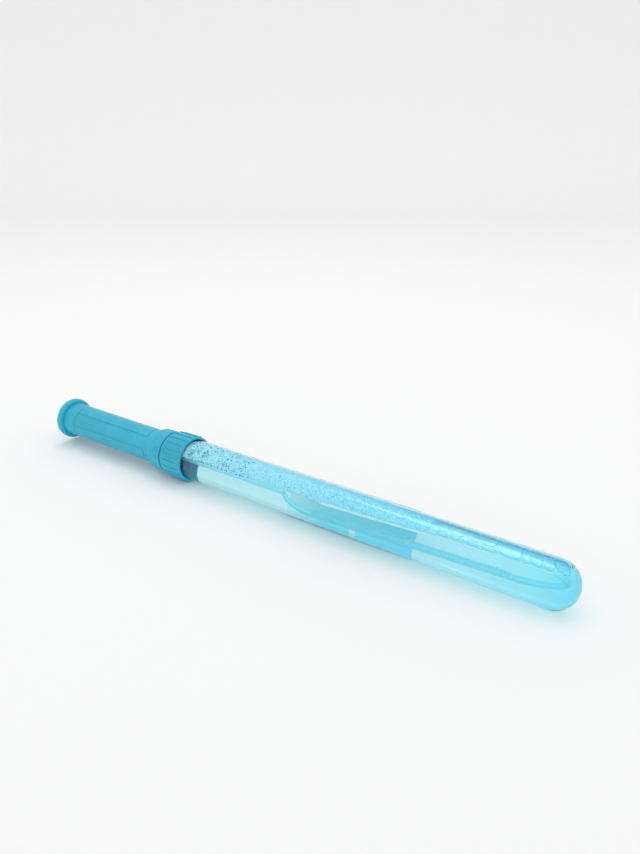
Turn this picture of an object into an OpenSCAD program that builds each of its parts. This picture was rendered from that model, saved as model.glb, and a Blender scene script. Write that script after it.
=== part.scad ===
// Bubble wand: a clear tube of bubble liquid with a toothed wand on a long screwed handle.
// Lies at rest on its collar and its domed end, along +X towards the dome, floor at Z 0.
// Each sub-part is drawn about its own axis, Z along the tube, then laid down by place().

/* [Tube] */
// outer radius of the clear tube
tube_r = 16; // [12:0.5:22]
// wall of the clear tube
tube_wall = 1.0; // [0.8:0.1:1.6]
// length from the collar mouth to the centre of the dome
dome_s = 290.5; // [200:0.5:340]
// how much smaller the neck is than the tube
neck_step = 2.6; // [2:0.1:4]
// wall of the neck
neck_wall = 1.4; // [1:0.1:2]
// how far the neck rim lies behind the collar mouth
rim_s = 16.5; // [15.5:0.5:20]
// where the full tube starts, behind the collar mouth
shoulder_s = 4.6; // [1.5:0.1:5]
// length of the cone from neck to tube
shoulder_l = 3.5; // [2:0.1:5]

/* [Thread] */
// advance in one turn
pitch = 3; // [2.5:0.1:4]
// height of the thread on the neck
neck_thread_h = 1.2; // [0.8:0.1:1.4]
// height of the thread in the collar
collar_thread_h = 1.1; // [0.8:0.1:1.3]
// width of a thread at its foot
thread_foot = 1.5; // [1.2:0.1:1.8]
// width of a thread at its crest
thread_crest = 0.9; // [0.6:0.1:1.2]
// where the neck thread starts, behind the collar mouth
thread_s = 14.8; // [14.5:0.1:16]
// turns of thread on each part
thread_turns = 1; // [0.5:0.25:1.25]
// how deep a thread is rooted in its wall
thread_root = 0.5; // [0.3:0.1:0.8]

/* [Collar] */
// wall of the plain collar at its mouth
mouth_wall = 1.7; // [0.8:0.1:2.2]
// how much the plain collar narrows to its back end
collar_taper = 0.3; // [0:0.1:0.8]
// length of the ribbed skirt
skirt_l = 20; // [18:0.5:28]
// length of the plain ring behind the ribs
back_ring_l = 3.2; // [2.5:0.1:7]
// how much smaller the plain ring is than the skirt
ring_step = 0.9; // [0.3:0.1:1.5]
// rounding of the back edge of the ring
back_edge = 1; // [0.3:0.1:1.5]
// gap between the tube and the mouth
mouth_gap = 0.4; // [0.3:0.1:1.5]
// how far the wide mouth reaches past the start of the cone
mouth_past = 0.9; // [0.6:0.1:1.5]
// gap between the neck thread and the bore of the collar
thread_gap = 0.5; // [0.3:0.1:0.8]
// rounding of the mouth edge
mouth_edge = 0.5; // [0.2:0.1:0.8]
// ribs around the skirt
ribs = 21; // [15:1:30]
// angle covered by one rib
rib_turn = 4; // [2:0.1:6]
// height of a rib
rib_h = 0.55; // [0.3:0.05:0.8]
// length of the run-out at the mouth end of a rib
rib_runout = 2.2; // [1:0.1:4]

/* [Handle] */
// how much smaller the nose is than the neck of the tube
nose_step = 0.4; // [0:0.1:1]
// rise of the snap bead at the nose
bead_h = 0.8; // [0.4:0.1:1]
// length of the snap bead
bead_l = 1.5; // [1:0.1:2.5]
// seam between collar and handle
seam = 0.8; // [0.4:0.1:1.2]
// largest radius of the shoulder behind the collar
shoulder_r = 16.9; // [16:0.1:17.5]
// radius of the shoulder where it starts to fall away
shoulder_back_r = 16.7; // [15:0.1:17]
// length of the straight shoulder
shoulder_run = 10.8; // [6:0.1:16]
// length of the slope from shoulder to neck
slope_l = 5; // [3:0.1:8]
// radius of the handle at its neck
grip_front_r = 13.8; // [12:0.1:16]
// radius of the handle at its far end
grip_back_r = 14.1; // [12:0.1:16]
// where the grip ends, behind the collar mouth
grip_end_s = 145.3; // [120:0.1:170]
// radius of the hollow of the handle
hollow_r = 10.6; // [9:0.1:12]
// where the hollow of the handle starts, behind the collar mouth
hollow_s = 48; // [44:0.5:60]
// rise of the three raised panels
panel_h = 0.45; // [0.3:0.05:0.8]
// angle left free between two panels
strip_turn = 49; // [30:1:70]
// where the panels start, behind the collar mouth
panel_front_s = 44.5; // [42:0.5:60]
// where the panels end, behind the collar mouth
panel_back_s = 131.5; // [110:0.5:142]
// groove at each end of a panel
panel_gap = 0.7; // [0.3:0.1:1.5]
// direction of the first strip from the side towards the viewer
strip_at = 30; // [0:1:120]
// rise of the small plain badge on the shoulder
badge_h = 0.3; // [0.2:0.1:0.8]
// radius of the badge
badge_r = 1.8; // [1.5:0.1:3]
// where the badge sits, behind the collar mouth
badge_s = 30.5; // [28:0.5:32]
// direction of the badge
badge_at = 27; // [0:1:90]

/* [End plug] */
// radius of the plug rim
plug_r = 17.3; // [15:0.1:20]
// thickness of the plug
plug_l = 6; // [3:0.1:8]
// rounding of the plug rim
plug_edge = 1.4; // [0.5:0.1:2.4]
// length of the pressed spigot
spigot_l = 10; // [6:0.5:16]
// bumps around the rim
bumps = 24; // [12:1:36]
// radius of one bump
bump_r = 1.4; // [0.8:0.1:2]
// how far a bump stands out
bump_h = 0.25; // [0.1:0.05:0.5]

/* [Seal] */
// thickness of the sealing washer
seal_t = 1.0; // [0.6:0.1:1.5]
// how far the sealing washer stands out over the neck rim
seal_out = 0.2; // [0:0.1:0.3]
// how far the sealing washer stands in from the neck rim
seal_in = 1.4; // [0.5:0.1:2]

/* [Wand] */
// radius of the round stem
stem_r = 2.3; // [1.5:0.1:3]
// radius of the foot pressed into the handle
foot_r = 4.5; // [3:0.1:6]
// length of the foot
foot_l = 22; // [14:0.5:26]
// where the loop starts
loop_s = 91.5; // [70:0.5:140]
// where the loop ends
loop_end_s = 298.5; // [200:0.5:303]
// room between the loop at its start and the inside of the tube
loop_room = 6.2; // [4:0.1:8]
// room between the loop where its tip starts and the inside of the tube
tip_room = 6.5; // [4.5:0.1:9]
// how far the loop starts off the stem line, to its lower side
loop_drop = 1.3; // [0:0.1:2]
// how far the loop ends off the stem line, to its upper side
loop_rise = 3.2; // [0:0.1:4]
// length of the rounded start of the loop
loop_round = 26; // [8:0.5:40]
// length of the pointed tip of the loop
loop_tip = 32; // [20:0.5:60]
// width of the rail without its teeth
rail_w = 1.4; // [1:0.1:2.4]
// height of the teeth inside the loop
tooth_h = 0.9; // [0.5:0.1:1.6]
// distance between teeth
tooth_pitch = 1.7; // [1.2:0.1:3]
// share of the rail that the stem runs into
stem_in = 0.7; // [0.4:0.05:0.8]
// thickness of the loop
loop_t = 2.6; // [1.6:0.1:4]
// direction of the lower rail from the side towards the viewer
loop_at = -108; // [-180:1:180]

/* [Liquid] */
// height of the liquid over the tube axis at mid length, as a share of the inner radius
level_share = 0.72; // [0.3:0.01:0.85]
// where the froth ends
froth_end_s = 211; // [100:1:260]
// how far neighbouring bubbles run into each other
bubble_join = 0.6; // [0.3:0.1:1]
// direction of the row of bubbles from the side towards the viewer
bubble_at = 66; // [45:1:90]
// gap between bubbles and froth
froth_gap = 0.4; // [0.2:0.1:1]

/* [Label] */
// thickness of the label
label_t = 0.2; // [0.1:0.05:0.4]
// where the label starts
label_s = 92; // [60:1:140]
// length of the label
label_l = 104; // [60:0.5:150]
// angle covered by the label
label_turn = 160; // [90:1:300]
// direction of the middle of the label
label_at = 205; // [0:1:360]

/* [Fits] */
// running fit of the collar on the nose
run_fit = 0.06; // [0.02:0.01:0.1]
// clearance on each face of the clamped washer
clamp_fit = 0.04; // [0.02:0.01:0.1]
// clearance around the wand in liquid and froth
wet_fit = 0.4; // [0.3:0.1:0.8]
// play between a thin filling and its wall
film = 0.02; // [0.01:0.01:0.1]

/* [Show] */
// which sub-part to draw

/* [Hidden] */
$fn = 96;
over = 1;
half = 1 / 2;
// where large bubbles meet, as shares of the room from the froth to the tip
bubble_shares = [0.032, 0.127, 0.249, 0.349, 0.466, 0.631, 0.693, 0.765, 0.844, 0.938];
// corners of a tooth, as shares of its distance to the next
tooth_shares = [0.1, 0.35, 0.65, 0.9];
// part of a thread that rises at each end, and its lowest height, as shares
thread_end_share = 1 / 6;
thread_low_share = 0.1;
// rounding of the slope behind the shoulder, as a share of its drop
soft_share = 0.15;
// how far the filling reaches into the tip of the loop, as a share
tip_fill_share = 0.6;
full_turn = 360;
quarter = full_turn / 4;
half_turn = full_turn / 2;

neck_r = tube_r - neck_step;
mouth_bore_r = tube_r + mouth_gap;
collar_mouth_r = mouth_bore_r + mouth_wall;
collar_back_r = collar_mouth_r - collar_taper;
collar_bore_r = neck_r + neck_thread_h + thread_gap;
ring_r = collar_back_r - ring_step;
mouth_l = shoulder_s + mouth_past;
nose_r = neck_r - nose_step;
bead_r = nose_r + bead_h;

// rest pose: the collar stands on the edges of two ribs and the dome on its round side
rib_step = full_turn / ribs;
gap_half = (rib_step - rib_turn) / 2;
rib_low = (collar_mouth_r + rib_h) * cos(gap_half);
foot_span = dome_s + rib_runout;
tilt = acos(tube_r / sqrt(rib_low * rib_low + foot_span * foot_span)) - atan2(foot_span, rib_low);
axis_z = tube_r + dome_s * sin(tilt);
back_s = grip_end_s + plug_l;
mid_x = (dome_s * cos(tilt) + tube_r - back_s * cos(tilt) - (plug_r - plug_edge) * sin(tilt)) / 2;

tube_in_r = tube_r - tube_wall;
neck_in_r = neck_r - neck_wall;
seal_r = neck_r + seal_out;
seal_hole_r = neck_in_r - seal_in;
level = level_share * tube_in_r;
cone_s = shoulder_s + shoulder_l;
nose_s = rim_s + seal_t + 2 * clamp_fit;
ring_s = skirt_l + back_ring_l;
handle_s = ring_s + seam;
slope_s = handle_s + shoulder_run;
neck_s = slope_s + slope_l;
lead = pitch * thread_turns;
collar_thread_s = thread_s - pitch / 2;
fill_r = tube_in_r - film;
fill_neck_r = neck_in_r - film;
level_0 = level - dome_s / 2 * sin(tilt);
tooth_from = loop_s + loop_round;
tooth_to = loop_end_s - loop_tip;
teeth = floor((tooth_to - tooth_from) / tooth_pitch);
rail_in = rail_w + tooth_h;

module place()
    translate([-mid_x, 0, axis_z])
        rotate([0, quarter + tilt, 0])
            children();

// turn a shape drawn along +X of the section to a direction seen from the near side
module aim(a)
    rotate([0, 0, -quarter - a])
        children();

module up(s)
    translate([0, 0, s])
        children();

// one helical thread rib: a trapezium swept up by one pitch a turn, run out at both ends
thread_steps = 36;
function taper(t) = max(thread_low_share, min(1, min(t, 1 - t) / thread_end_share));
function rib_section(r, side, h, t) = [
    [r - side * thread_root, -thread_foot / 2],
    [r - side * thread_root, thread_foot / 2],
    [r + side * h * taper(t), thread_crest / 2],
    [r + side * h * taper(t), -thread_crest / 2]];
module thread_rib(r, side, h, from_s) {
    pts = [for (i = [0:thread_steps], p = rib_section(r, side, h, i / thread_steps))
        [p[0] * cos(i / thread_steps * thread_turns * full_turn),
         p[0] * sin(i / thread_steps * thread_turns * full_turn),
         -from_s + p[1] + i / thread_steps * lead]];
    m = 4;
    sides = [for (i = [0:thread_steps - 1], j = [0:m - 1], k = [0:1])
        k == 0
            ? [i * m + j, (i + 1) * m + (j + 1) % m, i * m + (j + 1) % m]
            : [i * m + j, (i + 1) * m + j, (i + 1) * m + (j + 1) % m]];
    ends = [for (j = [1:m - 2], k = [0:1])
        k == 0
            ? [0, j, j + 1]
            : [thread_steps * m, thread_steps * m + j + 1, thread_steps * m + j]];
    flip = side < 0;
    faces = concat(sides, ends);
    polyhedron(points = pts, faces = flip ? [for (f = faces) [f[0], f[2], f[1]]] : faces);
}

// the round inside of the tube and neck, at a given tube and neck radius
module inside(r, nr, from_s) {
    up(dome_s)
        sphere(r = r);
    up(-shoulder_s)
        cylinder(r = r, h = dome_s + shoulder_s);
    up(-cone_s)
        cylinder(r1 = nr, r2 = r, h = shoulder_l);
    up(-from_s)
        cylinder(r = nr, h = from_s - cone_s + film);
}

module bottle()
    color([0.75, 0.92, 0.97, 0.4])
        place()
            difference() {
                union() {
                    inside(tube_r, neck_r, rim_s);
                    thread_rib(neck_r, 1, neck_thread_h, thread_s);
                }
                inside(tube_in_r, neck_in_r, rim_s + over);
            }

module label()
    color([0.35, 0.78, 0.90])
        place()
            up(label_s)
                aim(label_at)
                    rotate([0, 0, -label_turn / 2])
                        rotate_extrude(angle = label_turn)
                            translate([tube_r + film, 0])
                                square([label_t, label_l]);

// half widths of the loop at its start and where its tip starts
loop_wide = tube_in_r - loop_room;
loop_narrow = tube_in_r - tip_room;
// half width of the loop outline at a place along the tube
function tip_part(s) = (s - tooth_to) / loop_tip;
function start_part(s) = (s - loop_s) / loop_round;
function body_half(s) = loop_wide - (loop_wide - loop_narrow) * (s - tooth_from) / (tooth_to - tooth_from);
function outline(s) =
    s < tooth_from ? loop_wide * sqrt(max(0, 1 - pow(1 - start_part(s), 2)))
    : s > tooth_to ? loop_narrow * sqrt(max(0, 1 - pow(tip_part(s), 2)))
    : body_half(s);
curve_steps = 16;
function start_s(i) = loop_s + loop_round * (1 - cos(quarter * i / curve_steps));
function tip_s(i) = tooth_to + loop_tip * sin(quarter * i / curve_steps);
outer_side = concat(
    [for (i = [0:curve_steps]) [outline(start_s(i)), start_s(i)]],
    [for (i = [0:curve_steps]) [outline(tip_s(i)), tip_s(i)]]);
// the inner side: rounded start, teeth, rounded tip
function in_start_s(i) = loop_s + rail_w + (loop_round - rail_w) * (1 - cos(quarter * i / curve_steps));
function in_tip_s(i) = tooth_to + (loop_tip - rail_in) * sin(quarter * i / curve_steps);
function in_start(s) = (loop_wide - rail_w)
    * sqrt(max(0, 1 - pow((tooth_from - s) / (loop_round - rail_w), 2)));
function in_tip(s) = (loop_narrow - rail_w)
    * sqrt(max(0, 1 - pow((s - tooth_to) / (loop_tip - rail_in), 2)));
inner_side = concat(
    [for (i = [0:curve_steps]) [in_start(in_start_s(i)), in_start_s(i)]],
    [for (i = [0:teeth - 1], k = [0:3])
        let (s = tooth_from + (i + tooth_shares[k]) * tooth_pitch)
            [body_half(s) - rail_w - (k == 1 || k == 2 ? tooth_h : 0), s]],
    [for (i = [0:curve_steps]) [in_tip(in_tip_s(i)), in_tip_s(i)]]);
function mirrored(l) = [for (i = [len(l) - 2:-1:1]) [-l[i][0], l[i][1]]];

// the loop leans across the stem line: its upper side is the far one
function lean(l) = [for (p = l)
    [p[0] + loop_drop - (loop_drop + loop_rise) * (p[1] - loop_s) / (loop_end_s - loop_s), p[1]]];
module loop_area(side)
    polygon(lean(concat(side, mirrored(side))));

module loop()
    aim(loop_at)
        rotate([quarter, 0, 0])
            linear_extrude(height = loop_t, center = true)
                difference() {
                    loop_area(outer_side);
                    loop_area(inner_side);
                }

module wand()
    color([0.80, 0.93, 0.97])
        place() {
            loop();
            up(-nose_s - foot_l / 2)
                cylinder(r = stem_r, h = foot_l / 2 + nose_s + loop_s + rail_w * stem_in);
            up(-nose_s - foot_l)
                cylinder(r = foot_r, h = foot_l);
        }

// room left for the wand in the liquid and froth
clear_side = concat(
    [[0, loop_s - wet_fit]],
    [for (i = [1:len(outer_side) - 2]) [outer_side[i][0] + wet_fit, outer_side[i][1]]],
    [[wet_fit * 2, loop_end_s + wet_fit / 2], [0, loop_end_s + wet_fit]]);
clear_in = [
    [0, tooth_from - loop_round / 4],
    [body_half(tooth_from) - rail_in - wet_fit, tooth_from],
    [body_half(tooth_to) - rail_in - wet_fit, tooth_to],
    [0, tooth_to + loop_tip * tip_fill_share]];
module wand_room() {
    aim(loop_at)
        rotate([quarter, 0, 0])
            linear_extrude(height = loop_t + 2 * wet_fit, center = true)
                difference() {
                    union() {
                        loop_area(clear_side);
                        translate([-loop_wide / 2, loop_s - wet_fit])
                            square([loop_wide, loop_round / 2]);
                    }
                    loop_area(clear_in);
                }
    up(-nose_s)
        cylinder(r = stem_r + wet_fit, h = nose_s + loop_s + rail_w + wet_fit);
}

// the space over the level surface, in the turned frame of place()
module above(lift, h)
    rotate([0, -tilt, 0])
        translate([-level_0 - h - lift, -tube_r, -skirt_l * 2])
            cube([h, 2 * tube_r, dome_s + skirt_l * 2 + tube_r * 2]);

module filling()
    inside(fill_r, fill_neck_r, rim_s - wet_fit);

module bubble_solution()
    color([0.55, 0.86, 0.95, 0.5])
        place()
            difference() {
                filling();
                above(0, tube_r);
                wand_room();
            }

module froth()
    color([0.80, 0.94, 0.98])
        place()
            difference() {
                intersection() {
                    filling();
                    above(film, tube_r);
                    up(-rim_s)
                        cylinder(r = tube_r, h = froth_end_s + rim_s);
                }
                wand_room();
            }

// the last bubble stops short of the dome
function bubble_mark(i) = froth_end_s + bubble_shares[i] * (dome_s + tube_in_r - froth_end_s);
module bubble(from, to)
    up((from + to) / 2)
        aim(bubble_at)
            translate([tube_in_r - bubble_join, 0, 0])
                sphere(r = (to - from) / 2 + bubble_join);

module surface_bubbles()
    color([0.88, 0.97, 1.0, 0.6])
        place()
            intersection() {
                filling();
                above(film, tube_r);
                up(froth_end_s + froth_gap)
                    cylinder(r = tube_r, h = dome_s - froth_end_s + tube_r);
                union()
                    for (i = [0:len(bubble_shares) - 2])
                        bubble(bubble_mark(i), bubble_mark(i + 1));
            }

module sealing_washer()
    color([0.94, 0.95, 0.95])
        place()
            up(-rim_s - seal_t - clamp_fit)
                difference() {
                    cylinder(r = seal_r, h = seal_t);
                    up(-over)
                        cylinder(r = seal_hole_r, h = seal_t + 2 * over);
                }

grip_len = grip_end_s - neck_s;
slope_drop = shoulder_back_r - grip_front_r;
panel_turn = full_turn / 3 - strip_turn;
function grip_r(s) = grip_front_r + (grip_back_r - grip_front_r) * (s - neck_s) / grip_len;

// one raised panel, with a narrow groove left at both ends
module panel(at)
    aim(at)
        rotate([0, 0, -panel_turn / 2])
            rotate_extrude(angle = panel_turn)
                polygon([
                    [grip_r(panel_back_s) - 2 * panel_h, -panel_back_s + panel_gap],
                    [grip_r(panel_back_s), -panel_back_s + panel_gap],
                    [grip_r(panel_front_s), -panel_front_s - panel_gap],
                    [grip_r(panel_front_s) - 2 * panel_h, -panel_front_s - panel_gap]]);

module handle_grip()
    color([0.26, 0.69, 0.82])
        place()
            difference() {
                union() {
                    rotate_extrude()
                        polygon([
                            [0, -nose_s],
                            [nose_r, -nose_s],
                            [bead_r, -nose_s - bead_l / 3],
                            [bead_r, -nose_s - bead_l],
                            [nose_r, -nose_s - bead_l],
                            [nose_r, -handle_s],
                            [shoulder_r - half, -handle_s],
                            [shoulder_r, -handle_s - half],
                            [shoulder_back_r, -slope_s],
                            [shoulder_back_r - slope_drop * soft_share, -slope_s - slope_l / 4],
                            [grip_front_r + slope_drop * soft_share, -neck_s + slope_l / 4],
                            [grip_front_r, -neck_s],
                            [grip_r(panel_front_s), -panel_front_s],
                            [grip_r(panel_front_s) - panel_h, -panel_front_s - panel_gap / 4],
                            [grip_r(panel_back_s) - panel_h, -panel_back_s + panel_gap / 4],
                            [grip_r(panel_back_s), -panel_back_s],
                            [grip_back_r, -grip_end_s],
                            [0, -grip_end_s]]);
                    for (i = [0:2])
                        panel(strip_at + half * full_turn / 3 + i * full_turn / 3);
                    aim(badge_at)
                        up(-badge_s)
                            rotate([0, quarter, 0])
                                cylinder(r = badge_r, h = shoulder_r + badge_h);
                }
                up(-nose_s - foot_l)
                    cylinder(r = foot_r, h = foot_l + over);
                up(-grip_end_s - over)
                    cylinder(r = hollow_r, h = grip_end_s - hollow_s + over);
            }

module end_plug()
    color([0.26, 0.69, 0.82])
        place()
            difference() {
                union() {
                    up(-back_s)
                        rotate_extrude() {
                            translate([0, plug_edge])
                                square([plug_r, plug_l - 2 * plug_edge]);
                            square([plug_r - plug_edge, plug_l]);
                            for (z = [plug_edge, plug_l - plug_edge])
                                translate([plug_r - plug_edge, z])
                                    circle(r = plug_edge);
                        }
                    for (i = [0:bumps - 1])
                        rotate([0, 0, i * full_turn / bumps])
                            translate([plug_r - bump_r + bump_h, 0, -back_s + plug_edge])
                                cylinder(r = bump_r, h = plug_l - 2 * plug_edge);
                    up(-grip_end_s - over)
                        cylinder(r = hollow_r, h = spigot_l + over);
                }
                up(-grip_end_s)
                    cylinder(r = hollow_r - 2 * tube_wall, h = spigot_l + over);
            }

// outer radius of the plain skirt at a place behind the mouth
function skirt_r(s) = collar_mouth_r + (collar_back_r - collar_mouth_r) * s / skirt_l;

module rib()
    rotate_extrude(angle = rib_turn)
        polygon([
            [collar_back_r - rib_h, -skirt_l + rib_h],
            [collar_back_r + rib_h, -skirt_l + rib_h],
            [collar_mouth_r + rib_h, -rib_runout],
            [collar_mouth_r - rib_h, -rib_runout + 2 * rib_h]]);

module screw_collar()
    color([0.26, 0.69, 0.82])
        place()
            union() {
                rotate_extrude()
                    polygon([
                        [mouth_bore_r, 0],
                        [collar_mouth_r - mouth_edge, 0],
                        [collar_mouth_r, -mouth_edge],
                        [collar_back_r, -skirt_l],
                        [ring_r, -skirt_l - ring_step * half],
                        [ring_r, -ring_s + back_edge],
                        [ring_r - back_edge * half, -ring_s],
                        [nose_r + run_fit, -ring_s],
                        [nose_r + run_fit, -nose_s - bead_l - run_fit],
                        [collar_bore_r, -nose_s - bead_l - run_fit],
                        [collar_bore_r, -mouth_l - over],
                        [mouth_bore_r, -mouth_l]]);
                for (i = [0:ribs - 1])
                    rotate([0, 0, (i + half) * rib_step - rib_turn / 2])
                        rib();
                thread_rib(collar_bore_r, -1, collar_thread_h, collar_thread_s);
            }

bottle();
label();
bubble_solution();
froth();
surface_bubbles();
sealing_washer();
wand();
handle_grip();
end_plug();
screw_collar();
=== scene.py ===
# Bubble wand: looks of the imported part, in its own frame.
# Lengths in the sections are millimetres along and round the tube axis: s counts from the collar's
# mouth towards the dome, phi from the near side up over the top. AXIS lays them down in metres.
import math
import random

import bmesh
import bpy
from mathutils import Matrix, Vector


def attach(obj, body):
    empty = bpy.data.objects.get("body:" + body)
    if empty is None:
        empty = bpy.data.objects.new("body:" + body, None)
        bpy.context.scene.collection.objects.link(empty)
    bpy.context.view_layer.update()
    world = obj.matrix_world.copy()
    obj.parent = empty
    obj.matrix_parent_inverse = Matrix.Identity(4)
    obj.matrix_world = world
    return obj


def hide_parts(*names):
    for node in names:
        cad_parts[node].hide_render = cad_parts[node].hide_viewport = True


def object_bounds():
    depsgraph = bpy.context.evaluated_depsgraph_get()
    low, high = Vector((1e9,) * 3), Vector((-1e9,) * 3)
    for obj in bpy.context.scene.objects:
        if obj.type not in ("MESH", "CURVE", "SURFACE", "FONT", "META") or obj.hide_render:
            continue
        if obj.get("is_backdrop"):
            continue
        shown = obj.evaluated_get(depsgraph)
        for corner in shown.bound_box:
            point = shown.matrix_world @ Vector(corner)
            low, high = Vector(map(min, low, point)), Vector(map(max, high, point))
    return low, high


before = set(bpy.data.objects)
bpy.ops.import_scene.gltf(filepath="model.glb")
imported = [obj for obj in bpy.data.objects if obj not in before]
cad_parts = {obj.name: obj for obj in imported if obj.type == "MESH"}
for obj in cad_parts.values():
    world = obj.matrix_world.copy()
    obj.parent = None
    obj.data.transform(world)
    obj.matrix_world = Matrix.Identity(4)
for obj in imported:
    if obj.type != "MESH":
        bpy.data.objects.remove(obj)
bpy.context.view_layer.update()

# ---- Camera ----
# Fitted to the photo on the silhouettes of tube, handle, collar and dome.
# It stands on the near side (-Y), over the dome end, and looks back along the tube.
MM = 0.001
MID_X = 77.52878 * MM
FOCAL_PX, FRAME_PX, SENSOR = 745.57, 854, 36
cam_data = bpy.data.cameras.new("photo_camera")
camera = bpy.data.objects.new("photo_camera", cam_data)
bpy.context.scene.collection.objects.link(camera)
bpy.context.scene.camera = camera
cam_data.sensor_width = SENSOR
cam_data.lens = SENSOR * FOCAL_PX / FRAME_PX
cam_data.clip_start, cam_data.clip_end = 0.01, 30
camera.location = (390.683 * MM - MID_X, -386.263 * MM, 266.101 * MM)
yaw, pitch, roll = 2.1801, -0.38509, 0.00768
look = Vector((math.cos(pitch) * math.cos(yaw), math.cos(pitch) * math.sin(yaw), math.sin(pitch)))
camera.rotation_mode = "QUATERNION"
rolled = Matrix.Rotation(roll, 4, "Z").to_quaternion()
camera.rotation_quaternion = look.to_track_quat("-Z", "Y") @ rolled


# ---- Floor and light ----
# White matt paper rolled from the table up the wall, in a bright even room.
# One soft lamp above and a little behind gives the short shadow on the near side.
def colour(hex_text):
    """Linear RGBA of an sRGB hex colour."""
    parts = [int(hex_text[i : i + 2], 16) / 255 for i in (0, 2, 4)]
    return tuple(c / 12.92 if c <= 0.04045 else ((c + 0.055) / 1.055) ** 2.4 for c in parts) + (1,)


def add(tree, kind, inputs=(), props=(), **named):
    """A node of this kind with its properties and inputs. An input is a number, a hex colour or the
    output that feeds it; it goes by its name, or by its number where several have one name."""
    node = tree.nodes.new(kind)
    for name, value in dict(props).items():
        setattr(node, name, value)
    for name, value in {**dict(inputs), **named}.items():
        socket = node.inputs[name.replace("_", " ") if isinstance(name, str) else name]
        if isinstance(value, bpy.types.NodeSocket):
            tree.links.new(value, socket)
        else:
            socket.default_value = colour(value) if isinstance(value, str) else value
    return node


def material(name):
    """An empty material with its tree and output."""
    mat = bpy.data.materials.new(name)
    mat.use_nodes = True
    mat.node_tree.nodes.clear()
    out = mat.node_tree.nodes.new("ShaderNodeOutputMaterial")
    return mat, mat.node_tree, out


# the sheet: table, bend and wall, turned to face the camera
paper, tree, out = material("matt_paper")
sheet = add(tree, "ShaderNodeBsdfDiffuse", Color="F6F6F5")
tree.links.new(sheet.outputs[0], out.inputs["Surface"])
TABLE, BEND, WALL_TOP, HALF_WIDTH, STEPS = 2.0, 0.6, 3.5, 4.0, 24
rows = [(-HALF_WIDTH, 0.0)]
for i in range(STEPS + 1):
    turn = math.pi / 2 * i / STEPS
    rows.append((TABLE + BEND * math.sin(turn), BEND - BEND * math.cos(turn)))
rows.append((TABLE + BEND, WALL_TOP))
facing = Matrix.Rotation(yaw - math.pi / 2, 4, "Z")
verts = [facing @ Vector((side * HALF_WIDTH, y, z)) for y, z in rows for side in (-1, 1)]
faces = [(2 * i, 2 * i + 1, 2 * i + 3, 2 * i + 2) for i in range(len(rows) - 1)]
mesh = bpy.data.meshes.new("floor")
mesh.from_pydata(verts, [], faces)
mesh.shade_smooth()
mesh.materials.append(paper)
floor = bpy.data.objects.new("floor", mesh)
bpy.context.scene.collection.objects.link(floor)
floor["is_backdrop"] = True

ROOM, ROOM_LIGHT = (0.985, 0.99, 1.0, 1), 0.965
LAMP_SIZE, LAMP_WATTS, LAMP_AT = 0.6, 3, (-0.3, 0.35, 1.5)
world = bpy.data.worlds.new("room")
bpy.context.scene.world = world
world.use_nodes = True
sky = world.node_tree.nodes["Background"]
sky.inputs["Color"].default_value = ROOM
sky.inputs["Strength"].default_value = ROOM_LIGHT

lamp_data = bpy.data.lights.new("softbox", "AREA")
lamp_data.shape, lamp_data.size, lamp_data.energy = "SQUARE", LAMP_SIZE, LAMP_WATTS
lamp = bpy.data.objects.new("softbox", lamp_data)
bpy.context.scene.collection.objects.link(lamp)
lamp.location = LAMP_AT
lamp.rotation_mode = "QUATERNION"
lamp.rotation_quaternion = (-lamp.location).to_track_quat("-Z", "Y")
lamp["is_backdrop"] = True
bpy.context.scene.view_settings.view_transform = "Standard"

# ---- Clear tube ----
# One blow-moulded PETG tube: thin tinted wall, domed end, and a neck with one turn of thread.
# Smooth and glossy; light passes, and it looks bluer where it is seen edge-on or drawn thicker.
TILT = math.radians(0.49462)
AXIS_Z = 18.50779 * MM
AXIS = (
    Matrix.Translation((-MID_X, 0, AXIS_Z))
    @ Matrix.Rotation(math.pi / 2 + TILT, 4, "Y")
    @ Matrix.Scale(MM, 4)
)
TUBE_R, WALL, DOME_S = 16.0, 1.0, 290.5
NECK_R, NECK_IN, RIM_S = 13.4, 12.0, 16.5
IN_R = TUBE_R - WALL
PITCH, THREAD_H, THREAD_S = 3.0, 1.2, 14.8
THREAD_ROOT, THREAD_FOOT, THREAD_CREST = 0.5, 1.5, 0.9
RUN_OUT, LOWEST = 6, 0.1
CONE_FOOT, CONE_TOP, CONE_L = -8.2, -4.4, 3.8
TINT_FROM_S = 107.52878


def piece(name, verts, faces, mat, slot, *replaced, sharp=40):
    """A mesh piece given along the tube axis, riding on the tube, in place of some CAD nodes."""
    mesh = bpy.data.meshes.new(name)
    mesh.from_pydata([AXIS @ Vector(v) for v in verts], [], faces)
    bm = bmesh.new()
    bm.from_mesh(mesh)
    bmesh.ops.remove_doubles(bm, verts=bm.verts, dist=1e-7)
    bmesh.ops.recalc_face_normals(bm, faces=bm.faces)
    bm.to_mesh(mesh)
    bm.free()
    obj = bpy.data.objects.new(name, mesh)
    bpy.context.scene.collection.objects.link(obj)
    mesh.materials.append(mat)
    mesh.shade_smooth()
    mesh.set_sharp_from_angle(angle=math.radians(sharp))
    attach(obj, "tube_body")
    if replaced:
        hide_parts(*replaced)
    return obj


def revolve(profile, steps=128):
    """Vertices and faces of a closed (r, s) profile turned about the axis."""
    verts, faces, n = [], [], len(profile)
    for i in range(steps):
        a = 2 * math.pi * i / steps
        verts += [(r * math.cos(a), r * math.sin(a), s) for r, s in profile]
    for i in range(steps):
        for j in range(n):
            k = (j + 1) % n
            if profile[j][0] == 0 and profile[k][0] == 0:
                continue
            a, b = i * n, (i + 1) % steps * n
            faces.append((a + j, b + j, b + k, a + k))
    return verts, faces


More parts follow.
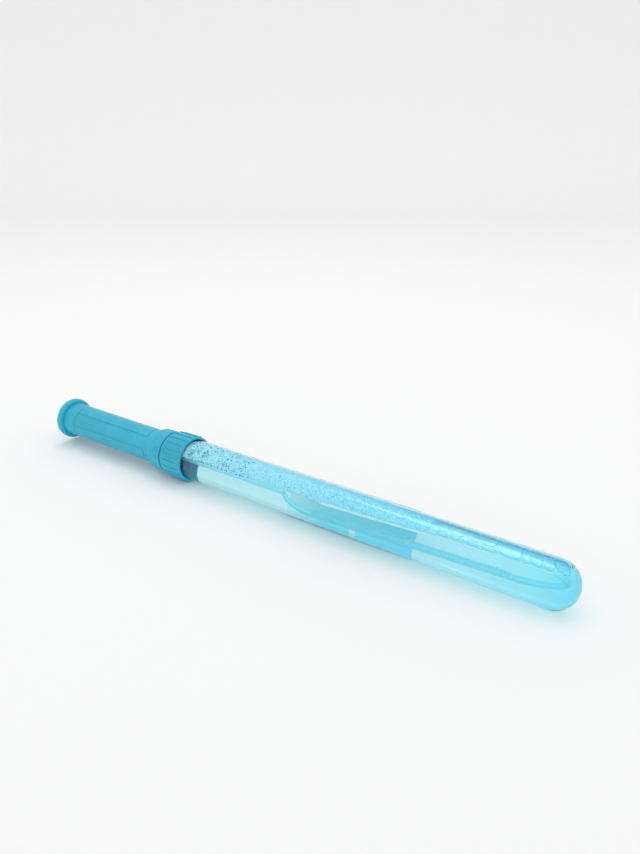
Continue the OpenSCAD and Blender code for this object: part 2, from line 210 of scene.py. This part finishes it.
def dome(r, steps=24):
    """Quarter-circle profile from the full radius to the tip."""
    turns = [math.pi / 2 * i / steps for i in range(steps)]
    return [(r * math.cos(a), DOME_S + r * math.sin(a)) for a in turns] + [(0, DOME_S + r)]


def surface(tree, out, *layers, passing=False):
    """The output's surface: the first shader with each further one mixed over it by its share.
    With passing, light on its way to other things goes straight through, as in clear stuff."""
    last = layers[0]
    for shader, share in layers[1:]:
        mixed = {0: share, 1: last.outputs[0], 2: shader.outputs[0]}
        last = add(tree, "ShaderNodeMixShader", mixed)
    if passing:
        path, open_way = add(tree, "ShaderNodeLightPath"), add(tree, "ShaderNodeBsdfTransparent")
        for ray in ("Is Diffuse Ray", "Is Shadow Ray"):
            mixed = {0: path.outputs[ray], 1: last.outputs[0], 2: open_way.outputs[0]}
            last = add(tree, "ShaderNodeMixShader", mixed)
    tree.links.new(last.outputs[0], out.inputs["Surface"])


def cell(mm):
    """Texture scale for a pattern of this size."""
    return 1 / (mm * MM)


def clear(name, ior, rough, tint, density, ripple):
    """Clear stuff that bends what is behind it, lets light pass and takes its tint from its depth:
    tint is the linear share of red, green and blue let through, density how fast it builds up.
    Its surface is a little uneven; ripple is the depth of that in millimetres."""
    mat, tree, out = material(name)
    place = add(tree, "ShaderNodeTexCoord").outputs["Object"]
    waves = add(tree, "ShaderNodeTexNoise", Vector=place, Scale=cell(14), Detail=1.0).outputs["Fac"]
    uneven = add(tree, "ShaderNodeBump", Height=waves, Strength=0.5, Distance=ripple * MM)
    glass = add(
        tree,
        "ShaderNodeBsdfPrincipled",
        Normal=uneven.outputs[0],
        Base_Color=(1, 1, 1, 1),
        Roughness=rough,
        IOR=ior,
        Transmission_Weight=1.0,
    )
    surface(tree, out, glass, passing=True)
    inside = add(tree, "ShaderNodeVolumeAbsorption", Color=tint, Density=density)
    tree.links.new(inside.outputs[0], out.inputs["Volume"])
    return mat


# PETG has an IOR near 1.57; it is lower here because the wetted wall is crossed as two skins
petg = clear(
    "clear_tinted_petg",
    ior=1.38,
    rough=0.015,
    tint=(0.25, 0.91, 0.99, 1),
    density=250,
    ripple=0.12,
)
tree = petg.node_tree
place = add(tree, "ShaderNodeTexCoord").outputs["Object"]
along = add(tree, "ShaderNodeSeparateXYZ", Vector=place).outputs["X"]
span = {"From Min": TINT_FROM_S * MM - MID_X, "From Max": (DOME_S + TUBE_R) * MM - MID_X}
thicker = add(tree, "ShaderNodeMapRange", span, Value=along).outputs[0]
drawn = add(tree, "ShaderNodeValToRGB", Fac=thicker)
stops = drawn.color_ramp.elements
stops[0].color, stops[1].color = colour("FFFFFF"), colour("C8F4FF")
for share, tint in ((0.59, "F4FDFF"), (0.85, "E8FCFF"), (0.95, "D4F8FF")):
    stops.new(share).color = colour(tint)
tree.links.new(drawn.outputs["Color"], tree.nodes["Principled BSDF"].inputs["Base Color"])
outer = dome(TUBE_R)[::-1] + [(TUBE_R, s) for s in range(280, 0, -10)]
outer += [(TUBE_R, -4.3), (15.75, -4.9), (13.7, -7.6), (NECK_R, -8.1), (NECK_R, -RIM_S)]
inner = [(NECK_IN, -RIM_S), (NECK_IN, CONE_FOOT), (12.35, -7.6), (14.7, -5.0), (IN_R, CONE_TOP)]
inner += [(IN_R, s) for s in range(10, 281, 10)] + dome(IN_R)
piece("clear_tube", *revolve(outer + inner), petg, "clear_tube", "bottle")

# one turn of thread, run out over a sixth of a turn at both ends, rooted in the neck wall
verts, faces, turns = [], [], 48
foot, crest = THREAD_FOOT / 2, THREAD_CREST / 2
for i in range(turns + 1):
    t = i / turns
    h = THREAD_H * max(LOWEST, min(1, min(t, 1 - t) * RUN_OUT))
    a = 2 * math.pi * t
    for r, ds in ((-THREAD_ROOT, -foot), (-THREAD_ROOT, foot), (h, crest), (h, -crest)):
        reach, s = NECK_R + r, ds - THREAD_S + PITCH * t
        verts.append((reach * math.cos(a), reach * math.sin(a), s))
for i in range(turns):
    for j in range(4):
        k = (j + 1) % 4
        faces.append((i * 4 + j, i * 4 + k, i * 4 + 4 + k, i * 4 + 4 + j))
faces += [(0, 1, 2, 3), tuple(turns * 4 + j for j in (3, 2, 1, 0))]
piece("neck_thread", verts, faces, petg, "clear_tube")

# ---- Bubble liquid ----
# Soapy water with a blue dye, filled up to a level surface a little over the wand.
# It overlaps the wall by a hair, so that light passes from plastic to liquid with no air between.
LEVEL_SHARE, WET = 0.72, 0.02
LEVEL_0 = LEVEL_SHARE * IN_R - DOME_S / 2 * math.sin(TILT)
ARC, FLAT, STEP = 64, 24, 8
dyed_water = clear(
    "dyed_soapy_water",
    ior=1.33,
    rough=0.0,
    tint=(0.06, 0.83, 0.98, 1),
    density=7,
    ripple=0.03,
)


def level(s):
    """Height of the level surface over the tube axis at s."""
    return LEVEL_0 + s * math.tan(TILT)


def inner_radius(s):
    """Inside radius of tube, cone, neck and dome at s."""
    if s > DOME_S:
        return math.sqrt(max(0.0, IN_R**2 - (s - DOME_S) ** 2))
    if s > CONE_TOP:
        return IN_R
    if s > CONE_FOOT:
        return NECK_IN + (IN_R - NECK_IN) * (s - CONE_FOOT) / CONE_L
    return NECK_IN


def stations(lo, hi, step):
    """Places along the axis, closer together in the cone and in the dome."""
    marks = [CONE_FOOT, -7.2, -6.3, -5.4, CONE_TOP]
    marks += [i * step for i in range(int(DOME_S / step) + 1)]
    marks += [DOME_S + IN_R * math.sin(math.pi / 2 * i / 24) for i in range(25)]
    return sorted(set(round(m, 4) for m in marks if lo <= m <= hi) | {lo, hi})


def filled(lo, hi, grow, under=True, drop=None):
    """The tube's inside under (or over) the level surface, as rings of one section each."""
    rings = []
    for s in stations(lo, hi, STEP):
        r, h = inner_radius(s) + grow, level(s) - (drop(s) if drop else 0)
        if r <= 0.05 or (under and h <= -r) or (not under and h >= r):
            continue
        half = math.acos(max(-1.0, min(1.0, h / r)))
        start, end = (half, 2 * math.pi - half) if under else (-half, half)
        turns = [start + (end - start) * i / ARC for i in range(ARC + 1)]
        ring = [(-r * math.cos(a), r * math.sin(a), s) for a in turns]
        w = r * math.sin(half) * (-1 if under else 1)
        ring += [(-h if half > 0.001 else -r, w * (1 - 2 * i / FLAT), s) for i in range(1, FLAT)]
        rings.append(ring)
    n = ARC + FLAT
    verts = [v for ring in rings for v in ring]
    faces = []
    for i in range(len(rings) - 1):
        for j in range(n):
            k = (j + 1) % n
            faces.append((i * n + j, i * n + k, (i + 1) * n + k, (i + 1) * n + j))
    faces.append(tuple(range(n)))
    faces.append(tuple(range((len(rings) - 1) * n, len(rings) * n))[::-1])
    return verts, faces


FILLED_FROM = -RIM_S + 0.3
liquid_form = filled(FILLED_FROM, DOME_S + IN_R - WET, WET)
piece("bubble_liquid", *liquid_form, dyed_water, "liquid", "bubble_solution")

# ---- Froth ----
# Fine soap foam over the liquid from the neck to two thirds of the tube, dipping a little into it.
# Its cells show as pale grain with blue gaps, coarser and darker near the collar, finer and
# bluer further on and over the top.
FROTH_END, FROTH_GAP = 211.0, 0.35
SAG, SAG_FROM, SAG_TO = 2.6, 120, 260
# how a Mix node takes two colours, at its sockets A and B, and a Math node multiplies
RGBA, A, B, TIMES = {"data_type": "RGBA"}, 6, 7, {"operation": "MULTIPLY"}


def sag(s):
    """How far the froth is pressed into the liquid, less and less towards the dome."""
    return SAG * min(1, max(0, (SAG_TO - s) / (SAG_TO - SAG_FROM)))


foam, tree, out = material("soap_foam")
place = add(tree, "ShaderNodeTexCoord").outputs["Object"]
split = add(tree, "ShaderNodeSeparateXYZ", Vector=place).outputs
span = {"From Min": -MID_X, "From Max": FROTH_END * MM - MID_X}
from_collar = add(tree, "ShaderNodeMapRange", span, Value=split["X"]).outputs[0]
span = {"From Min": -3 * MM, "From Max": 4 * MM}
far_side = add(tree, "ShaderNodeMapRange", span, Value=split["Y"]).outputs[0]
far_side = add(tree, "ShaderNodeMath", {0: far_side, 1: from_collar}, TIMES).outputs[0]
# real cells are mostly under a millimetre; they are drawn this coarse to show at all
cells = add(tree, "ShaderNodeTexVoronoi", Vector=place, Scale=cell(1.5)).outputs["Distance"]
fine = add(tree, "ShaderNodeTexNoise", Vector=place, Scale=cell(0.9), Detail=3.0).outputs["Fac"]
clumps = add(tree, "ShaderNodeTexNoise", Vector=place, Scale=cell(7), Detail=2.0).outputs["Fac"]
pale = add(tree, "ShaderNodeMix", {0: from_collar, A: "D9F6FC", B: "B9F0FC"}, RGBA).outputs[2]
gaps = add(tree, "ShaderNodeMix", {0: from_collar, A: "9AD2E8", B: "86D8F2"}, RGBA).outputs[2]
edges = add(tree, "ShaderNodeMapRange", Value=cells, From_Min=0.2, From_Max=0.8).outputs[0]
tone = add(tree, "ShaderNodeMix", {0: edges, A: pale, B: gaps}, RGBA).outputs[2]
raised = add(tree, "ShaderNodeMath", {0: fine, 1: clumps}, TIMES).outputs[0]
faded = add(tree, "ShaderNodeMapRange", Value=from_collar, From_Max=0.55, To_Max=0.12).outputs[0]
dark = add(tree, "ShaderNodeMath", {0: raised, 1: faded}, {"operation": "SUBTRACT"}).outputs[0]
dark = add(tree, "ShaderNodeMapRange", Value=dark, From_Min=0.27, From_Max=0.32).outputs[0]
for share, over in ((dark, "3F8FB4"), (far_side, "48B4DC")):
    tone = add(tree, "ShaderNodeMix", {0: share, A: tone, B: over}, RGBA).outputs[2]
hollow = {"invert": True}
bump = add(tree, "ShaderNodeBump", {"Height": cells}, hollow, Strength=0.5, Distance=0.5 * MM)
suds = add(
    tree,
    "ShaderNodeBsdfPrincipled",
    Base_Color=tone,
    Normal=bump.outputs[0],
    Roughness=0.5,
    Specular_IOR_Level=0.3,
)
surface(tree, out, suds, passing=True)
froth_form = filled(FILLED_FROM, FROTH_END, -FROTH_GAP, under=False, drop=sag)
piece("froth_body", *froth_form, foam, "foam", "froth")

# single bubbles lie against the wall all over the foam and along its edge
bead_film, tree, out = material("bead_of_foam")
place = add(tree, "ShaderNodeTexCoord").outputs["Object"]
each = add(tree, "ShaderNodeTexVoronoi", Vector=place, Scale=cell(1.2)).outputs["Color"]
each = add(tree, "ShaderNodeMapRange", Value=each, From_Min=0.35, From_Max=0.85).outputs[0]
along = add(tree, "ShaderNodeSeparateXYZ", Vector=place).outputs["X"]
span = {"From Min": -MID_X, "From Max": 60 * MM - MID_X}
along = add(tree, "ShaderNodeMapRange", span, Value=along).outputs[0]
deep = add(tree, "ShaderNodeMix", {0: along, A: "3F93B8", B: "9ADBF0"}, RGBA).outputs[2]
shade = add(tree, "ShaderNodeMix", {0: each, A: "D4F5FC", B: deep}, RGBA).outputs[2]
drop = add(tree, "ShaderNodeBsdfPrincipled", Base_Color=shade, Roughness=0.2, IOR=1.33)
veil = add(tree, "ShaderNodeBsdfTranslucent", Color=shade)
surface(tree, out, drop, (veil, 0.3), passing=True)
wet_bead, tree, out = material("wet_bead_in_shade")
place = add(tree, "ShaderNodeTexCoord").outputs["Object"]
each = add(tree, "ShaderNodeTexVoronoi", Vector=place, Scale=cell(2)).outputs["Color"]
each = add(tree, "ShaderNodeMapRange", Value=each, From_Min=0.3, From_Max=0.8).outputs[0]
shade = add(tree, "ShaderNodeMix", {0: each, A: "1F5F80", B: "5FA8C6"}, RGBA).outputs[2]
drop = add(tree, "ShaderNodeBsdfPrincipled", Base_Color=shade, Roughness=0.15)
surface(tree, out, drop)

# the tree that grows them: a ball at every place, its size drawn between the smallest share and 1
SMALLEST = 0.45
bead_tree = bpy.data.node_groups.new("beads", "GeometryNodeTree")
sockets = {}
kinds = {"Geometry": "Geometry", "Bead radius": "Float", "Seed": "Int", "Skin": "Material"}
for name, kind in kinds.items():
    made = bead_tree.interface.new_socket(name, in_out="INPUT", socket_type="NodeSocket" + kind)
    sockets[name] = made.identifier
bead_tree.interface.new_socket("Geometry", in_out="OUTPUT", socket_type="NodeSocketGeometry")
source = add(bead_tree, "NodeGroupInput").outputs
sized = {"Radius": source["Bead radius"], "Segments": 8, "Rings": 5}
ball = add(bead_tree, "GeometryNodeMeshUVSphere", sized)
drawn = {"Seed": source["Seed"], 2: SMALLEST, 3: 1.0}
sizes = add(bead_tree, "FunctionNodeRandomValue", drawn, {"data_type": "FLOAT"})
placed = {"Points": source["Geometry"], "Instance": ball.outputs["Mesh"], "Scale": sizes.outputs[1]}
strewn = add(bead_tree, "GeometryNodeInstanceOnPoints", placed)
real = add(bead_tree, "GeometryNodeRealizeInstances", Geometry=strewn.outputs[0])
smooth = add(bead_tree, "GeometryNodeSetShadeSmooth", Geometry=real.outputs[0])
skinned = {"Geometry": smooth.outputs[0], "Material": source["Skin"]}
coated = add(bead_tree, "GeometryNodeSetMaterial", skinned)
add(bead_tree, "NodeGroupOutput", Geometry=coated.outputs[0])


def beads(name, places, radius, seed, skin):
    """Small bubbles at the given places, grown by the node tree and turned into a plain mesh."""
    mesh = bpy.data.meshes.new(name + "_places")
    mesh.from_pydata([AXIS @ Vector(p) for p in places], [], [])
    holder = bpy.data.objects.new(name + "_places", mesh)
    bpy.context.scene.collection.objects.link(holder)
    grow = holder.modifiers.new("beads", "NODES")
    grow.node_group = bead_tree
    grow[sockets["Bead radius"]] = radius * MM
    grow[sockets["Seed"]] = seed
    grow[sockets["Skin"]] = skin
    holder.update_tag()
    graph = bpy.context.evaluated_depsgraph_get()
    made = bpy.data.meshes.new_from_object(holder.evaluated_get(graph))
    made.name = name
    bpy.data.objects.remove(holder)
    obj = bpy.data.objects.new(name, made)
    bpy.context.scene.collection.objects.link(obj)
    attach(obj, "tube_body")


def angle(phi):
    """Direction phi, counted from the near side (-Y) up towards +Z, as the angle in the section."""
    return math.radians(-90 - phi)


def on_wall(s, phi, gap):
    """Place at s and direction phi, this far inside the wall."""
    r = inner_radius(s) - gap
    return (r * math.cos(angle(phi)), r * math.sin(angle(phi)), s)


def edge_phi(s, gap=0.0, drop=0.0):
    """Direction in which the level surface, or a line below it, meets the wall on the near side."""
    return math.degrees(math.asin(min(1.0, (level(s) - drop) / (inner_radius(s) - gap))))


# strewn over the foam, thinner towards its end
STREWN, DARK, EDGE_STEP, EDGE_FROM, DOTS_FROM, DOTS_TO = 1500, 150, 0.75, -14.0, -8.0, 62
BEAD_GAP, EDGE_GAP, DARK_GAP, ROW_GAP = 0.5, 0.45, 0.3, 0.4
BEAD_R, EDGE_R, DARK_R = 0.38, 0.5, 0.62
dice = random.Random(7)
places = []
while len(places) < STREWN:
    s = EDGE_FROM + (FROTH_END + 12) * dice.random()
    if dice.random() > 1.15 - 0.6 * s / FROTH_END:
        continue
    low = edge_phi(s, BEAD_GAP, sag(s)) + 3
    places.append(on_wall(s, low + (180 - 2 * low) * dice.random(), BEAD_GAP))
beads("froth_beads", places, BEAD_R, seed=3, skin=bead_film)

# in rows along the foam's lower edge: pale ones side by side, and near the collar dark ones too,
# further apart along the tube; the rest of the dark ones are single specks there
row, dark_row = [], []
for side in (0, 1):
    s = EDGE_FROM
    while s < FROTH_END + 6:
        phi = edge_phi(s, ROW_GAP, sag(s)) + 4 * dice.random()
        row.append(on_wall(s, 180 - phi if side else phi, EDGE_GAP))
        s += EDGE_STEP
    s = DOTS_FROM
    while s < DOTS_TO:
        phi = edge_phi(s, ROW_GAP, sag(s)) + 1.5 * dice.random()
        dark_row.append(on_wall(s, 180 - phi if side else phi, DARK_GAP))
        s += 1.4 + 2.2 * dice.random() * (1 + s / 60)
while len(dark_row) < DARK:
    s = -12 + 75 * dice.random() ** 1.6
    dark_row.append(on_wall(s, edge_phi(s, ROW_GAP, sag(s)) + 12 + 90 * dice.random(), DARK_GAP))
beads("edge_beads", row, EDGE_R, seed=5, skin=bead_film)
beads("dark_edge_beads", dark_row, DARK_R, seed=9, skin=wet_bead)

# ---- Surface bubbles ----
# A row of large soap bubbles under the top of the tube, from the froth to the dome.
# Each is a pale wet haze with a finer blue border, and small ones sit under the first four.
BUBBLE_SHARES = (0.032, 0.127, 0.249, 0.349, 0.466, 0.631, 0.693, 0.765, 0.844, 0.938)
BORDER_R, BORDER_GAP, TOP_PHI = 0.22, 0.3, 112
LEAN, LEAN_FROM = 0.11, 75
SMALL_ROW, SMALL_TURN, SMALL_IN = 4, 12, 1
HAZE_GAP, HAZE_END = 0.65, DOME_S + 11
haze, tree, out = material("wet_soap_film")
place = add(tree, "ShaderNodeTexCoord").outputs["Object"]
streaks = add(tree, "ShaderNodeTexNoise", Vector=place, Scale=cell(5), Detail=2.0).outputs["Fac"]
across = add(tree, "ShaderNodeSeparateXYZ", Vector=place).outputs["Y"]
span = {"From Min": -3 * MM, "From Max": 3 * MM}
across = add(tree, "ShaderNodeMapRange", span, Value=across).outputs[0]
tone = add(tree, "ShaderNodeMix", {0: streaks, A: "A8E9F8", B: "CDF6FE"}, RGBA).outputs[2]
tone = add(tree, "ShaderNodeMix", {0: across, A: tone, B: "3FAEDA"}, RGBA).outputs[2]
wet = add(tree, "ShaderNodeBsdfPrincipled", Base_Color=tone, Roughness=0.2)
surface(tree, out, wet, (add(tree, "ShaderNodeBsdfTransparent"), 0.5), passing=True)
border, tree, out = material("liquid_border_of_film")
place = add(tree, "ShaderNodeTexCoord").outputs["Object"]
thick = add(tree, "ShaderNodeTexNoise", Vector=place, Scale=cell(2), Detail=1.0).outputs["Fac"]
tone = add(tree, "ShaderNodeMix", {0: thick, A: "55BEDD", B: "86D8EC"}, RGBA).outputs[2]
line = add(tree, "ShaderNodeBsdfPrincipled", Base_Color=tone, Roughness=0.15)
surface(tree, out, line, (add(tree, "ShaderNodeBsdfTransparent"), 0.2), passing=True)
verts, faces = [], []
RING, AROUND = 72, 8


def thread(path, r):
    """A closed round thread along a closed path, added to the section's vertices and faces."""
    start, n = len(verts), len(path)
    for j in range(n):
        along = (path[(j + 1) % n] - path[j - 1]).normalized()
        out_way = Vector((path[j].x, path[j].y, 0)).normalized()
        across = along.cross(out_way).normalized()
        out_way = across.cross(along)
        for k in range(AROUND):
            b = 2 * math.pi * k / AROUND
            verts.append(path[j] + r * (math.cos(b) * out_way + math.sin(b) * across))
    for j in range(n):
        for k in range(AROUND):
            a, b = start + j * AROUND, start + (j + 1) % n * AROUND
            faces.append((a + k, a + (k + 1) % AROUND, b + (k + 1) % AROUND, b + k))


def ring_path(from_s, to_s, from_phi, to_phi, square=0.7):
    """A rounded window on the inner wall, leaning towards the collar over the top."""
    path = []
    for j in range(RING):
        c, d = math.cos(2 * math.pi * j / RING), math.sin(2 * math.pi * j / RING)
        s = (from_s + to_s) / 2 + (to_s - from_s) / 2 * math.copysign(abs(c) ** square, c)
        phi = (from_phi + to_phi) / 2 + (to_phi - from_phi) / 2 * math.copysign(abs(d) ** square, d)
        path.append(Vector(on_wall(s - LEAN * (phi - LEAN_FROM), phi, BORDER_GAP)))
    return path


marks = [FROTH_END + share * (DOME_S + IN_R - FROTH_END) for share in BUBBLE_SHARES]
for i in range(len(marks) - 1):
    near, far = marks[i] + BORDER_R, marks[i + 1] - BORDER_R
    low = edge_phi((near + far) / 2, BORDER_GAP) + 2
    if i < SMALL_ROW:
        thread(ring_path(near + SMALL_IN, far - SMALL_IN, low, low + SMALL_TURN), BORDER_R)
        low += SMALL_TURN + 1
    thread(ring_path(near, far, low, TOP_PHI), BORDER_R)
piece("bubble_borders", verts, faces, border, "foam", "surface_bubbles", sharp=180)
haze_form = filled(FROTH_END - 2, HAZE_END, -HAZE_GAP, under=False)
piece("bubble_haze", *haze_form, haze, "foam")

# the edge of the liquid climbs the wall; a thin white thread along it is a painted highlight,
# thinner towards the dome
RISE_FROM, RISE_END, RISE_GAP, RISE_BELOW = 130, DOME_S + 9, 0.6, 3
WIDE_END, WIDE_R, MID_R, THIN_R = 176, 1.0, 0.75, 0.5
verts, faces = [], []
for side in (0, 1):
    line_path = []
    for s in stations(RISE_FROM, RISE_END, STEP / 2):
        phi = edge_phi(s, RISE_GAP, sag(s)) - RISE_BELOW
        line_path.append(Vector(on_wall(s, 180 - phi if side else phi, RISE_GAP)))
    start = len(verts)
    for p in line_path:
        r = WIDE_R if p.z < WIDE_END else MID_R if p.z < FROTH_END else THIN_R
        for k in range(AROUND):
            b = 2 * math.pi * k / AROUND
            verts.append(p + Vector((r * math.cos(b), r * math.sin(b), 0)))
    for j in range(len(line_path) - 1):
        for k in range(AROUND):
            a, b = start + j * AROUND, start + (j + 1) * AROUND
            faces.append((a + k, a + (k + 1) % AROUND, b + (k + 1) % AROUND, b + k))
    faces.append(tuple(range(start, start + AROUND))[::-1])
    faces.append(tuple(range(len(verts) - AROUND, len(verts))))
# painted highlight: a near-white thread with a faint translucent glow, standing in for light caught
# at the liquid's edge
highlight_paint, tree, out = material("painted_waterline_highlight")
place = add(tree, "ShaderNodeTexCoord").outputs["Object"]
gleam = add(tree, "ShaderNodeTexNoise", Vector=place, Scale=cell(12), Detail=1.0).outputs["Fac"]
gleam = add(tree, "ShaderNodeMapRange", Value=gleam, From_Min=0.35, From_Max=0.6).outputs[0]
shine = add(tree, "ShaderNodeMix", {0: gleam, A: "FFFFFF", B: "E6FAFD"}, RGBA).outputs[2]
lit = add(tree, "ShaderNodeBsdfPrincipled", Base_Color=shine, Roughness=0.1)
glow = add(tree, "ShaderNodeBsdfTranslucent", Color=shine)
surface(tree, out, lit, (glow, 0.2), passing=True)
piece("waterline_highlight_thread", verts, faces, highlight_paint, "liquid", sharp=180)

# ---- Label ----
# Thin printed polypropylene film glued round the far side of the tube, seen through the liquid.
# Clear film with a plain blue wash, a bare slanted strip and a pale foot band, faintly glossy.
LABEL_S, LABEL_L, LABEL_TURN, LABEL_AT, LABEL_T = 92.0, 104.0, 160.0, 205.0, 0.2
EDGE_X = LABEL_S * MM - MID_X
WAVER, SLANT, STRIP_X, STRIP_HALF = 0.045, 0.8, 0.0605, 0.0026
INK, FOOT_INK, GLOSS, GLUE = 0.02, 0.3, 0.03, 0.03
label_film, tree, out = material("printed_film")
place = add(tree, "ShaderNodeTexCoord").outputs["Object"]
split = add(tree, "ShaderNodeSeparateXYZ", Vector=place)
along, height = split.outputs["X"], split.outputs["Z"]
swirl = add(tree, "ShaderNodeTexNoise", Vector=place, Scale=cell(14), Detail=3.0).outputs["Fac"]
plus = {"operation": "MULTIPLY_ADD"}
wavy = add(tree, "ShaderNodeMath", {0: swirl, 1: WAVER, 2: along}, plus).outputs[0]
slanted = add(tree, "ShaderNodeMath", {0: height, 1: SLANT, 2: along}, plus).outputs[0]
# where each part of the print begins and where it is full, in metres along the tube or up from
# the floor
spans = {
    "wash": (wavy, EDGE_X + 0.026, EDGE_X + 0.060),
    "deep": (wavy, EDGE_X + 0.100, EDGE_X + 0.106),
    "deep, above": (height, 0.0078, 0.0088),
    "strip, below": (height, 0.0064, 0.0058),
    "foot": (along, EDGE_X + 0.027, EDGE_X + 0.024),
    "foot, below": (height, 0.0049, 0.0045),
}
shares = {}
for name, (source, start, full) in spans.items():
    span = {"Value": source, "From Min": start, "From Max": full}
    shares[name] = add(tree, "ShaderNodeMapRange", span).outputs[0]
strip = {0: slanted, 1: EDGE_X + STRIP_X, 2: STRIP_HALF}
shares["strip"] = add(tree, "ShaderNodeMath", strip, {"operation": "COMPARE"}).outputs[0]
for name, part in (("deep", "deep, above"), ("strip", "strip, below"), ("foot", "foot, below")):
    both = {0: shares[name], 1: shares[part]}
    shares[name] = add(tree, "ShaderNodeMath", both, TIMES).outputs[0]
tone = colour("F4FEFF")
for name, over in (("wash", "CCF8FF"), ("deep", "AAEDFF"), ("strip", "FFFFFF"), ("foot", "F6E4E6")):
    tone = add(tree, "ShaderNodeMix", {0: shares[name], A: tone, B: over}, RGBA).outputs[2]
bare = add(tree, "ShaderNodeBsdfTransparent", Color=tone)
ink = add(tree, "ShaderNodeBsdfDiffuse", Color=tone)
gloss = add(tree, "ShaderNodeBsdfPrincipled", Base_Color=tone, Roughness=0.25)
cover = add(tree, "ShaderNodeMapRange", Value=shares["foot"], To_Min=INK, To_Max=FOOT_INK)
printed = {0: cover.outputs[0], 1: bare.outputs[0], 2: ink.outputs[0]}
printed = add(tree, "ShaderNodeMixShader", printed)
surface(tree, out, printed, (gloss, GLOSS))
verts, faces = [], []
ALONG, ROUND = 52, 64
for layer in (GLUE, GLUE + LABEL_T):
    r = TUBE_R + layer
    for i in range(ALONG + 1):
        s = LABEL_S + LABEL_L * i / ALONG
        for j in range(ROUND + 1):
            turn = angle(LABEL_AT + LABEL_TURN * (j / ROUND - 0.5))
            verts.append((r * math.cos(turn), r * math.sin(turn), s))
wide, layer_n = ROUND + 1, (ALONG + 1) * (ROUND + 1)
for i in range(ALONG):
    for j in range(ROUND):
        quad = (i * wide + j, i * wide + j + 1, (i + 1) * wide + j + 1, (i + 1) * wide + j)
        faces += [quad, tuple(layer_n + q for q in quad[::-1])]
rim = list(range(wide)) + [i * wide + ROUND for i in range(1, ALONG + 1)]
rim += [ALONG * wide + j for j in range(ROUND - 1, -1, -1)]
rim += [i * wide for i in range(ALONG - 1, 0, -1)]
for a, b in zip(rim, rim[1:] + rim[:1]):
    faces.append((a, b, layer_n + b, layer_n + a))
piece("label_film", verts, faces, label_film, "label_film", "label")

# ---- Sealing washer ----
# A soft foamed polyethylene ring, clamped between the neck rim and the nose of the handle.
# Dull white with a faint closed-cell grain.
foamed, tree, out = material("foamed_polyethylene")
place = add(tree, "ShaderNodeTexCoord").outputs["Object"]
pores = add(tree, "ShaderNodeTexVoronoi", Vector=place, Scale=cell(0.4)).outputs["Distance"]
pitted = add(tree, "ShaderNodeBump", Height=pores, Strength=0.4, Distance=0.1 * MM).outputs[0]
dull = add(tree, "ShaderNodeBsdfPrincipled", Normal=pitted, Base_Color="EFF2F2", Roughness=0.75)
tree.links.new(dull.outputs[0], out.inputs["Surface"])


def dress(name, mat, sharp=30):
    """A better material and smooth rounds on a CAD node that keeps its shape."""
    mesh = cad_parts[name].data
    mesh.materials.clear()
    mesh.materials.append(mat)
    mesh.shade_smooth()
    mesh.set_sharp_from_angle(angle=math.radians(sharp))


dress("sealing_washer", foamed)

# ---- Wand ----
# Injection-moulded natural polypropylene: round stem, long toothed loop, milky and slightly blue.
# Light passes through it, so it nearly vanishes in the liquid.
milky, tree, out = material("natural_polypropylene")
place = add(tree, "ShaderNodeTexCoord").outputs["Object"]
cloud = add(tree, "ShaderNodeTexNoise", Vector=place, Scale=cell(6), Detail=2.0).outputs["Fac"]
milk = add(tree, "ShaderNodeValToRGB", Fac=cloud)
for stop, tint in zip(milk.color_ramp.elements, ("B0EDF8", "C2F4FB")):
    stop.color = colour(tint)
wax = add(
    tree,
    "ShaderNodeBsdfPrincipled",
    Base_Color=milk.outputs["Color"],
    Roughness=0.3,
    IOR=1.08,
    Transmission_Weight=0.93,
)
veil = add(tree, "ShaderNodeBsdfDiffuse", Color=milk.outputs["Color"])
surface(tree, out, wax, (veil, 0.5), passing=True)
dress("wand", milky)

# ---- Handle, end plug and collar ----
# Injection-moulded light blue polypropylene: grip with raised panels, pressed plug, ribbed collar.
# Satin skin with a faint moulding grain; thin places let some light through.
blue_pp, tree, out = material("moulded_blue_polypropylene")
place = add(tree, "ShaderNodeTexCoord").outputs["Object"]
cloud = add(tree, "ShaderNodeTexNoise", Vector=place, Scale=cell(22), Detail=3.0).outputs["Fac"]
tint = add(tree, "ShaderNodeValToRGB", Fac=cloud)
for stop, share, tone in zip(tint.color_ramp.elements, (0.3, 0.7), ("25A7C4", "31B5D0")):
    stop.position, stop.color = share, colour(tone)
grain = add(tree, "ShaderNodeTexNoise", Vector=place, Scale=cell(0.55), Detail=2.0).outputs["Fac"]
sheen = {"From Min": 0.3, "From Max": 0.7, "To Min": 0.38, "To Max": 0.5}
sheen = add(tree, "ShaderNodeMapRange", sheen, Value=cloud).outputs[0]
skin = add(tree, "ShaderNodeBump", Height=grain, Strength=0.12, Distance=0.2 * MM).outputs[0]
satin = add(
    tree,
    "ShaderNodeBsdfPrincipled",
    Base_Color=tint.outputs["Color"],
    Roughness=sheen,
    Normal=skin,
    IOR=1.49,
    Subsurface_Weight=0.3,
    Subsurface_Radius=(0.2, 0.8, 1.0),
    Subsurface_Scale=1.5 * MM,
)
tree.links.new(satin.outputs[0], out.inputs["Surface"])
for name in ("handle_grip", "end_plug", "screw_collar"):
    dress(name, blue_pp)

# ---- Size and end ----
# The bounds of everything shown, the backdrop left out, in metres.
low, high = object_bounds()
